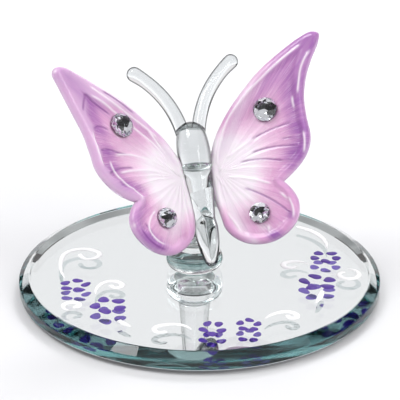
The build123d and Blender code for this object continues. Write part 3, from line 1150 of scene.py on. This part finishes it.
def bumper_shapes(settings):
    """The clear bumpers, rounded where they meet the table."""
    middles = loose_middles("bumper_feet")
    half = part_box("bumper_feet")[1][0] - max(middle.x for middle in middles)
    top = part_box("mirror_backing")[0][2] + SUNK
    profile = [(0.0, 0.0)]
    for turn in np.linspace(0.0, math.pi / 2, 7):
        inset = settings.bumper_round * (1 - math.sin(turn))
        profile.append((half - inset, settings.bumper_round * (1 - math.cos(turn))))
    profile += [(half, top), (0.0, top)]
    return [turned_upright(profile, middle.x, middle.y, sides=48) for middle in middles]


# Operators, one for each piece or group of like pieces


class ORNAMENT_OT_mirror(bpy.types.Operator):
    """Bevelled mirror glass with its silver, backing paint and bumpers"""

    bl_idname = "ornament.mirror"
    bl_label = "Round mirror"

    def execute(self, context):
        settings = context.scene.ornament_mirror
        low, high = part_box("mirror_glass")
        radius = (high[0] - low[0]) / 2 - settings.edge_trim
        glass = mirror_shape(radius, settings)
        add_piece("bevelled_mirror", glass, float_glass(settings), "mirror_glass", "mirror_glass", sharp=5.0)

        coat_radius = radius - settings.arris
        silver = bright_coat("mirror_silver", settings.silver, grain=70.0, low=0.0, high=0.012)
        shape = coat_shape("mirror_silvering", coat_radius)
        add_piece("mirror_silver", shape, silver, "silver_coat", "mirror_silvering", sharp=30.0)
        paint = back_paint(settings)
        shape = coat_shape("mirror_backing", coat_radius)
        add_piece("mirror_back_paint", shape, paint, "backing_paint", "mirror_backing", sharp=30.0)

        gel = clear_glass("clear_bumper_gel", BUMPER_GEL, ripple=0.2, index=1.42)
        add_piece("table_bumpers", joined(bumper_shapes(settings)), gel, "clear_bumper", "bumper_feet")
        return {"FINISHED"}


class ORNAMENT_OT_pedestal(bpy.types.Operator):
    """Blob foot and stem, with the glue film that holds it to the mirror"""

    bl_idname = "ornament.pedestal"
    bl_label = "Glass pedestal"

    def execute(self, context):
        settings = context.scene.ornament_glass
        film_low, film_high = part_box("foot_adhesive")
        middle = middle_of("foot_adhesive")
        film_radius = (film_high[0] - film_low[0]) / 2
        film = (
            (0.0, film_low[2] - SUNK),
            (film_radius, film_low[2] - SUNK),
            (film_radius - FILM_INSET, film_high[2] + SUNK),
            (0.0, film_high[2] + SUNK),
        )
        glue = clear_glass("clear_foot_glue", FOOT_GLUE, ripple=0.3, index=1.48)
        shape = turned_upright(film, middle.x, middle.y)
        add_piece("foot_glue_film", shape, glue, "clear_glue", "foot_adhesive")

        curve = smooth_curve([(radius, height) for height, radius in PEDESTAL_PROFILE], count=90) * MM
        foot = film_high[2]
        profile = [(0.0, foot)] + [(radius, foot + height) for radius, height in curve]
        profile.append((0.0, profile[-1][1] + STEM_CAP))
        shape = turned_upright(profile, middle.x, middle.y, sides=96)
        finish = clear_glass("drawn_pedestal_glass", settings.clear, settings.ripple, rim=0.5, band=0.58)
        add_piece("glass_pedestal", shape, finish, "clear_glass", "pedestal")
        return {"FINISHED"}


class ORNAMENT_OT_body(bpy.types.Operator):
    """Clear glass head, thorax and abdomen in one drawn piece"""

    bl_idname = "ornament.body"
    bl_label = "Glass body"

    def execute(self, context):
        settings = context.scene.ornament_glass
        right, head, _ = tilted_axes(BODY_YAW, BODY_PITCH)
        profile = smooth_curve([(radius, place) for place, radius in BODY_PROFILE], count=120) * MM
        profile[0][0] = 0.0
        profile[-1][0] = 0.0
        shape = turned([tuple(p) for p in profile], PERCH, right, head, sides=96)
        finish = clear_glass(
            "drawn_body_glass", settings.clear, settings.ripple, depth=85.0, rim=0.9, band=0.33
        )
        add_piece("glass_body", shape, finish, "clear_glass", "body")
        return {"FINISHED"}


class ORNAMENT_OT_antennae(bpy.types.Operator):
    """Two bowed glass antennae fused to the head"""

    bl_idname = "ornament.antennae"
    bl_label = "Glass antennae"

    def execute(self, context):
        settings = context.scene.ornament_glass
        finish = clear_glass(
            "drawn_antenna_glass", settings.clear, settings.ripple, depth=130.0, rim=1.0, band=0.33
        )
        for name in SIDES:
            shape = antenna_shape(name, settings)
            add_piece(f"glass_antenna_{name}", shape, finish, "clear_glass", f"antenna_{name}")
        return {"FINISHED"}


class ORNAMENT_OT_wings(bpy.types.Operator):
    """Pressed and sprayed glass wings with a smooth lip, pressed panels and veins"""

    bl_idname = "ornament.wings"
    bl_label = "Pressed wings"

    def execute(self, context):
        finish = sprayed_wing(context.scene.ornament_wings)
        for name in SIDES:
            shape, fields = wing_shape(name)
            node = f"wing_{name}"
            piece = add_piece(f"pressed_{node}", shape, finish, "tinted_wing_glass", node, sharp=80.0)
            store_fields(piece, fields)
        return {"FINISHED"}


class ORNAMENT_OT_crystals(bpy.types.Operator):
    """Faceted crystals with their foil and glue, on the wings' upper faces"""

    bl_idname = "ornament.crystals"
    bl_label = "Crystals"

    def execute(self, context):
        settings = context.scene.ornament_crystals
        glass = clear_glass("cut_crystal", settings.glass, ripple=0.0, index=1.62)
        foil = bright_coat("crystal_foil_coat", settings.foil, grain=900.0, low=0.02, high=0.06)
        glue = clear_glass("clear_crystal_glue", CRYSTAL_GLUE, ripple=0.3, index=1.48)
        for seat in SEATS:
            _, reach, _, normal = wing_axes(SIDES[seat.split("_")[0]])
            low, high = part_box(f"crystal_foil_{seat}")
            radius = (high[2] - low[2]) / 2 / math.sqrt(1 - normal.z**2)
            base = middle_of(f"crystal_foil_{seat}") + normal * (FOIL_THICKNESS / 2)
            shape = crystal_shape(base, reach, normal, radius, settings)
            add_piece(f"cut_crystal_{seat}", shape, glass, "crystal", f"crystal_{seat}", sharp=1.0)

            back = settings.pavilion
            under = -FOIL_THICKNESS
            coat = ((0.0, under - back), (radius, under), (radius, SUNK), (0.0, SUNK - back))
            shape = turned(coat, base, reach, normal, sides=8)
            add_piece(f"foil_{seat}", shape, foil, "crystal_foil", f"crystal_foil_{seat}", sharp=1.0)

            bead = [(radius + past * MM, height * MM) for past, height in GLUE_BEAD]
            bead = [(0.0, bead[0][1]), *bead, (0.0, bead[-1][1])]
            shape = turned(bead, middle_of(f"crystal_glue_{seat}"), reach, normal, sides=48)
            add_piece(f"glue_bead_{seat}", shape, glue, "clear_glue", f"crystal_glue_{seat}")
        return {"FINISHED"}


class ORNAMENT_OT_flowers(bpy.types.Operator):
    """Flowers of five purple enamel dabs each"""

    bl_idname = "ornament.flowers"
    bl_label = "Painted flowers"

    def execute(self, context):
        settings = context.scene.ornament_enamel
        finish = enamel("purple_flower_enamel", tuple(settings.purple), paling=0.05)
        draw = random.Random(7)
        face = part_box("mirror_glass")[1][2] - SUNK
        for flower, (wide, deep) in FLOWERS.items():
            middles = loose_middles(f"enamel_flower_{flower}")
            centre = points_middle(middles)
            centre.z = face
            dabs = []
            for middle in middles:
                offset = Vector((middle.x - centre.x, middle.y - centre.y, 0.0))
                out = offset.normalized()
                dabs.append(dab_shape(offset, Vector((-out.y, out.x, 0.0)), settings, draw))
            points, faces = joined(dabs)
            points = [centre + Vector((p.x * wide, p.y * deep, p.z)) for p in points]
            shape = points, faces
            name = f"flower_{flower}"
            add_piece(f"painted_{name}", shape, finish, "purple_enamel", f"enamel_{name}")
        return {"FINISHED"}


class ORNAMENT_OT_scrolls(bpy.types.Operator):
    """White enamel scrolls, one brush stroke each"""

    bl_idname = "ornament.scrolls"
    bl_label = "Painted scrolls"

    def execute(self, context):
        settings = context.scene.ornament_enamel
        finish = enamel("white_scroll_enamel", tuple(settings.white), paling=-0.06)
        low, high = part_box("mirror_glass")
        radius = (high[0] - low[0]) / 2
        for spray, strokes in SCROLLS.items():
            shapes = [stroke_shape(scroll_route(radius, s), high[2] - SUNK, settings) for s in strokes]
            name = f"scrolls_{spray}"
            add_piece(f"painted_{name}", joined(shapes), finish, "white_enamel", f"enamel_{name}")
        return {"FINISHED"}


def add_lamp(name, place, target, size, power):
    """A soft square lamp that points at a target."""
    data = bpy.data.lights.new(name, "AREA")
    data.shape = "RECTANGLE"
    data.size, data.size_y = size
    data.energy = power
    lamp = bpy.data.objects.new(name, data)
    lamp.location = place
    lamp.rotation_euler = (Vector(target) - Vector(place)).to_track_quat("-Z", "Y").to_euler()
    bpy.context.scene.collection.objects.link(lamp)
    return lamp


def add_stage_sheet(name, points, faces, material):
    """A sheet that belongs to the stage."""
    mesh = bpy.data.meshes.new(name)
    mesh.from_pydata(points, [], faces)
    mesh.materials.append(material)
    sheet = bpy.data.objects.new(name, mesh)
    bpy.context.scene.collection.objects.link(sheet)
    return sheet


def seen_rays(shader):
    """1 for rays that show the background: camera, glossy and transmission rays."""
    rays = shader.node("ShaderNodeLightPath")
    total = rays.other("Is Camera Ray") + rays.other("Is Glossy Ray") + rays.other("Is Transmission Ray")
    return shader.node("ShaderNodeClamp", None, {"Value": total})


def pale_floor(settings):
    """A pale floor that takes the ornament's shadow."""
    shader = new_shader("pale_floor")
    grain = shader.noise(place_of(shader), 40.0, 2.0)
    tint = shader.blend(grain, [0.985 * c for c in settings.floor], settings.floor)
    matt = shader.node("ShaderNodeBsdfDiffuse", None, {"Color": tint})
    distance = shader.node("ShaderNodeVectorMath", {"operation": "LENGTH"}, {0: place_of(shader)}, output=1)
    white = shader.blend(shader.smooth(distance, *FLOOR_FADE), NEAR_GLOW, FAR_GLOW)
    strength = seen_rays(shader) * settings.floor_glow
    glow = shader.node("ShaderNodeEmission", None, {"Color": white, "Strength": strength})
    both = shader.node("ShaderNodeAddShader", None, {0: matt, 1: glow})
    shader.node("ShaderNodeOutputMaterial", None, {"Surface": both})
    return shader.owner


def studio_card(name, dark, light, seen=None):
    """A matt studio card with a cloudy tone, clear for rays for which seen gives 0."""
    shader = new_shader(name)
    cloud = shader.smooth(shader.noise(place_of(shader), 3.0, 2.0), 0.35, 0.65)
    card = shader.node(
        "ShaderNodeBsdfPrincipled", None, {"Base Color": shader.blend(cloud, dark, light), "Roughness": 0.9}
    )
    if seen is not None:
        clear = shader.node("ShaderNodeBsdfTransparent")
        card = shader.node("ShaderNodeMixShader", None, {0: seen(shader), 1: clear, 2: card})
    shader.node("ShaderNodeOutputMaterial", None, {"Surface": card})
    return shader.owner


def off_the_mirror(shader):
    """0 for rays that left the flat mirror's slightly rough glass after one reflection, 1 for others."""
    rays = shader.node("ShaderNodeLightPath")
    glossy, through = rays.other("Glossy Depth"), rays.other("Transmission Depth")
    once = glossy.maths("COMPARE", glossy, 1.0) * through.maths("GREATER_THAN", through, 1.5)
    return 1 - once * (1 - rays.other("Is Singular Ray"))


def off_the_foot(shader):
    """0 also for rays that crossed more glass after a reflection, which show the foot in the mirror."""
    rays = shader.node("ShaderNodeLightPath")
    glossy, through = rays.other("Glossy Depth"), rays.other("Transmission Depth")
    onward = glossy.maths("GREATER_THAN", glossy, 0.5) * through.maths("GREATER_THAN", through, 2.5)
    return off_the_mirror(shader) * (1 - onward)


def from_the_bevel(shader):
    """1 for rays that were reflected to and fro inside the mirror's glass, 0 for all others."""
    glossy = shader.node("ShaderNodeLightPath").other("Glossy Depth")
    return glossy.maths("GREATER_THAN", glossy, 3.5)


def rim_flag():
    """A low dark ribbon behind the mirror, which only its bevel looks at."""
    turns = [math.radians(FLAG_START + FLAG_SWEEP * k / FLAG_STEPS) for k in range(FLAG_STEPS + 1)]
    points = [
        (FLAG_RADIUS * math.cos(turn), FLAG_RADIUS * math.sin(turn), height)
        for turn in turns
        for height in (FLAG_LOW, FLAG_HIGH)
    ]
    return points, [(2 * k, 2 * k + 2, 2 * k + 3, 2 * k + 1) for k in range(FLAG_STEPS)]


def add_floor(settings):
    """The pale floor."""
    reach = FLOOR_REACH
    corners = ((-reach, -reach, 0), (reach, -reach, 0), (reach, reach, 0), (-reach, reach, 0))
    add_stage_sheet("floor", corners, [(0, 1, 2, 3)], pale_floor(settings))


def add_cards():
    """Studio cards that only glass and silver see."""
    plain = studio_card("plain_card", *DARK_TONES)
    sides = studio_card("side_card", *DARK_TONES, off_the_foot)
    finishes = {
        "front": studio_card("front_card", *DARK_TONES, off_the_mirror),
        "back_low": plain,
        "back_high": studio_card("high_back_card", *PALE_TONES),
        "left": sides,
        "right": sides,
    }
    flag = studio_card("flag_card", *DARK_TONES, from_the_bevel)
    sheets = [add_stage_sheet("rim_flag", *rim_flag(), flag)]
    for name, (start, end, low, high) in CARDS.items():
        corners = ((*start, low), (*end, low), (*end, high), (*start, high))
        sheets.append(add_stage_sheet(f"card_{name}", corners, [(0, 1, 2, 3)], finishes[name]))
    for sheet in sheets:
        sheet.visible_camera = False
        sheet.visible_diffuse = False
        sheet.visible_shadow = False


def add_lamps():
    """Three soft lamps, of which the back one lights but doesn't show in glass or silver."""
    for name, (place, size, power) in LAMPS.items():
        lamp = add_lamp(name, place, LIT_POINT, size, power)
        lamp.visible_glossy = lamp.visible_transmission = name != "back_lamp"


def add_world(settings):
    """Even light from all around, white for the rays that show the background."""
    world = bpy.data.worlds.new("studio_world")
    bpy.context.scene.world = world
    shader = Shader(world)
    way = shader.node("ShaderNodeTexCoord").other("Generated")
    rise = shader.node("ShaderNodeSeparateXYZ", None, {0: way}).other("Z")
    sky = shader.blend(shader.smooth(rise, 0.45, 1.0), (1.0, 0.96, 0.97), (0.7, 0.7, 0.71))
    level = settings.ambient + (1.0 - settings.ambient) * seen_rays(shader)
    light = shader.node("ShaderNodeBackground", None, {"Color": sky, "Strength": level})
    shader.node("ShaderNodeOutputWorld", None, {"Surface": light})


def add_camera(settings):
    """The camera at the photograph's viewing angle."""
    data = bpy.data.cameras.new("camera")
    data.angle = settings.view_angle
    data.clip_start, data.clip_end = 0.01, 20.0
    camera = bpy.data.objects.new("camera", data)
    aim = Vector((settings.aim_side, 0.0, settings.aim_height))
    away = Vector((0.0, -math.cos(settings.elevation), math.sin(settings.elevation)))
    camera.location = aim + away * settings.distance
    camera.rotation_euler = (-away).to_track_quat("-Z", "Y").to_euler()
    bpy.context.scene.collection.objects.link(camera)
    bpy.context.scene.camera = camera


class ORNAMENT_OT_stage(bpy.types.Operator):
    """Pale floor, soft studio light and the camera"""

    bl_idname = "ornament.stage"
    bl_label = "Studio stage"

    def execute(self, context):
        scene = context.scene
        settings = scene.ornament_stage
        add_floor(settings)
        add_cards()
        add_lamps()
        add_world(settings)
        add_camera(settings)
        scene.view_settings.view_transform = "Standard"
        scene.cycles.max_bounces = LIGHT_BOUNCES
        scene.cycles.glossy_bounces = LIGHT_BOUNCES
        scene.cycles.transmission_bounces = LIGHT_BOUNCES
        return {"FINISHED"}


OPERATORS = (
    ORNAMENT_OT_mirror,
    ORNAMENT_OT_pedestal,
    ORNAMENT_OT_body,
    ORNAMENT_OT_antennae,
    ORNAMENT_OT_wings,
    ORNAMENT_OT_crystals,
    ORNAMENT_OT_flowers,
    ORNAMENT_OT_scrolls,
    ORNAMENT_OT_stage,
)


class ORNAMENT_PT_panel(bpy.types.Panel):
    """Lists the ornament's settings and its steps"""

    bl_idname = "ORNAMENT_PT_panel"
    bl_label = "Butterfly ornament"
    bl_space_type = "VIEW_3D"
    bl_region_type = "UI"
    bl_category = "Butterfly"

    def draw(self, context):
        for operator in OPERATORS:
            self.layout.operator(operator.bl_idname)
        for name in SETTINGS:
            box = self.layout.box()
            group = getattr(context.scene, name)
            for key in group.__annotations__:
                box.prop(group, key)


CLASSES = (*SETTINGS.values(), *OPERATORS, ORNAMENT_PT_panel)


def register():
    """Make the settings, the operators and the panel known."""
    for item in CLASSES:
        bpy.utils.register_class(item)
    for name, group in SETTINGS.items():
        setattr(bpy.types.Scene, name, PointerProperty(type=group))


def unregister():
    """Take them out again."""
    for name in SETTINGS:
        delattr(bpy.types.Scene, name)
    for item in reversed(CLASSES):
        bpy.utils.unregister_class(item)


def main():
    """Build the ornament and its stage."""
    register()
    bpy.ops.ornament.mirror()
    bpy.ops.ornament.pedestal()
    bpy.ops.ornament.body()
    bpy.ops.ornament.antennae()
    bpy.ops.ornament.wings()
    bpy.ops.ornament.crystals()
    bpy.ops.ornament.flowers()
    bpy.ops.ornament.scrolls()
    bpy.ops.ornament.stage()


if __name__ == "__main__":
    main()
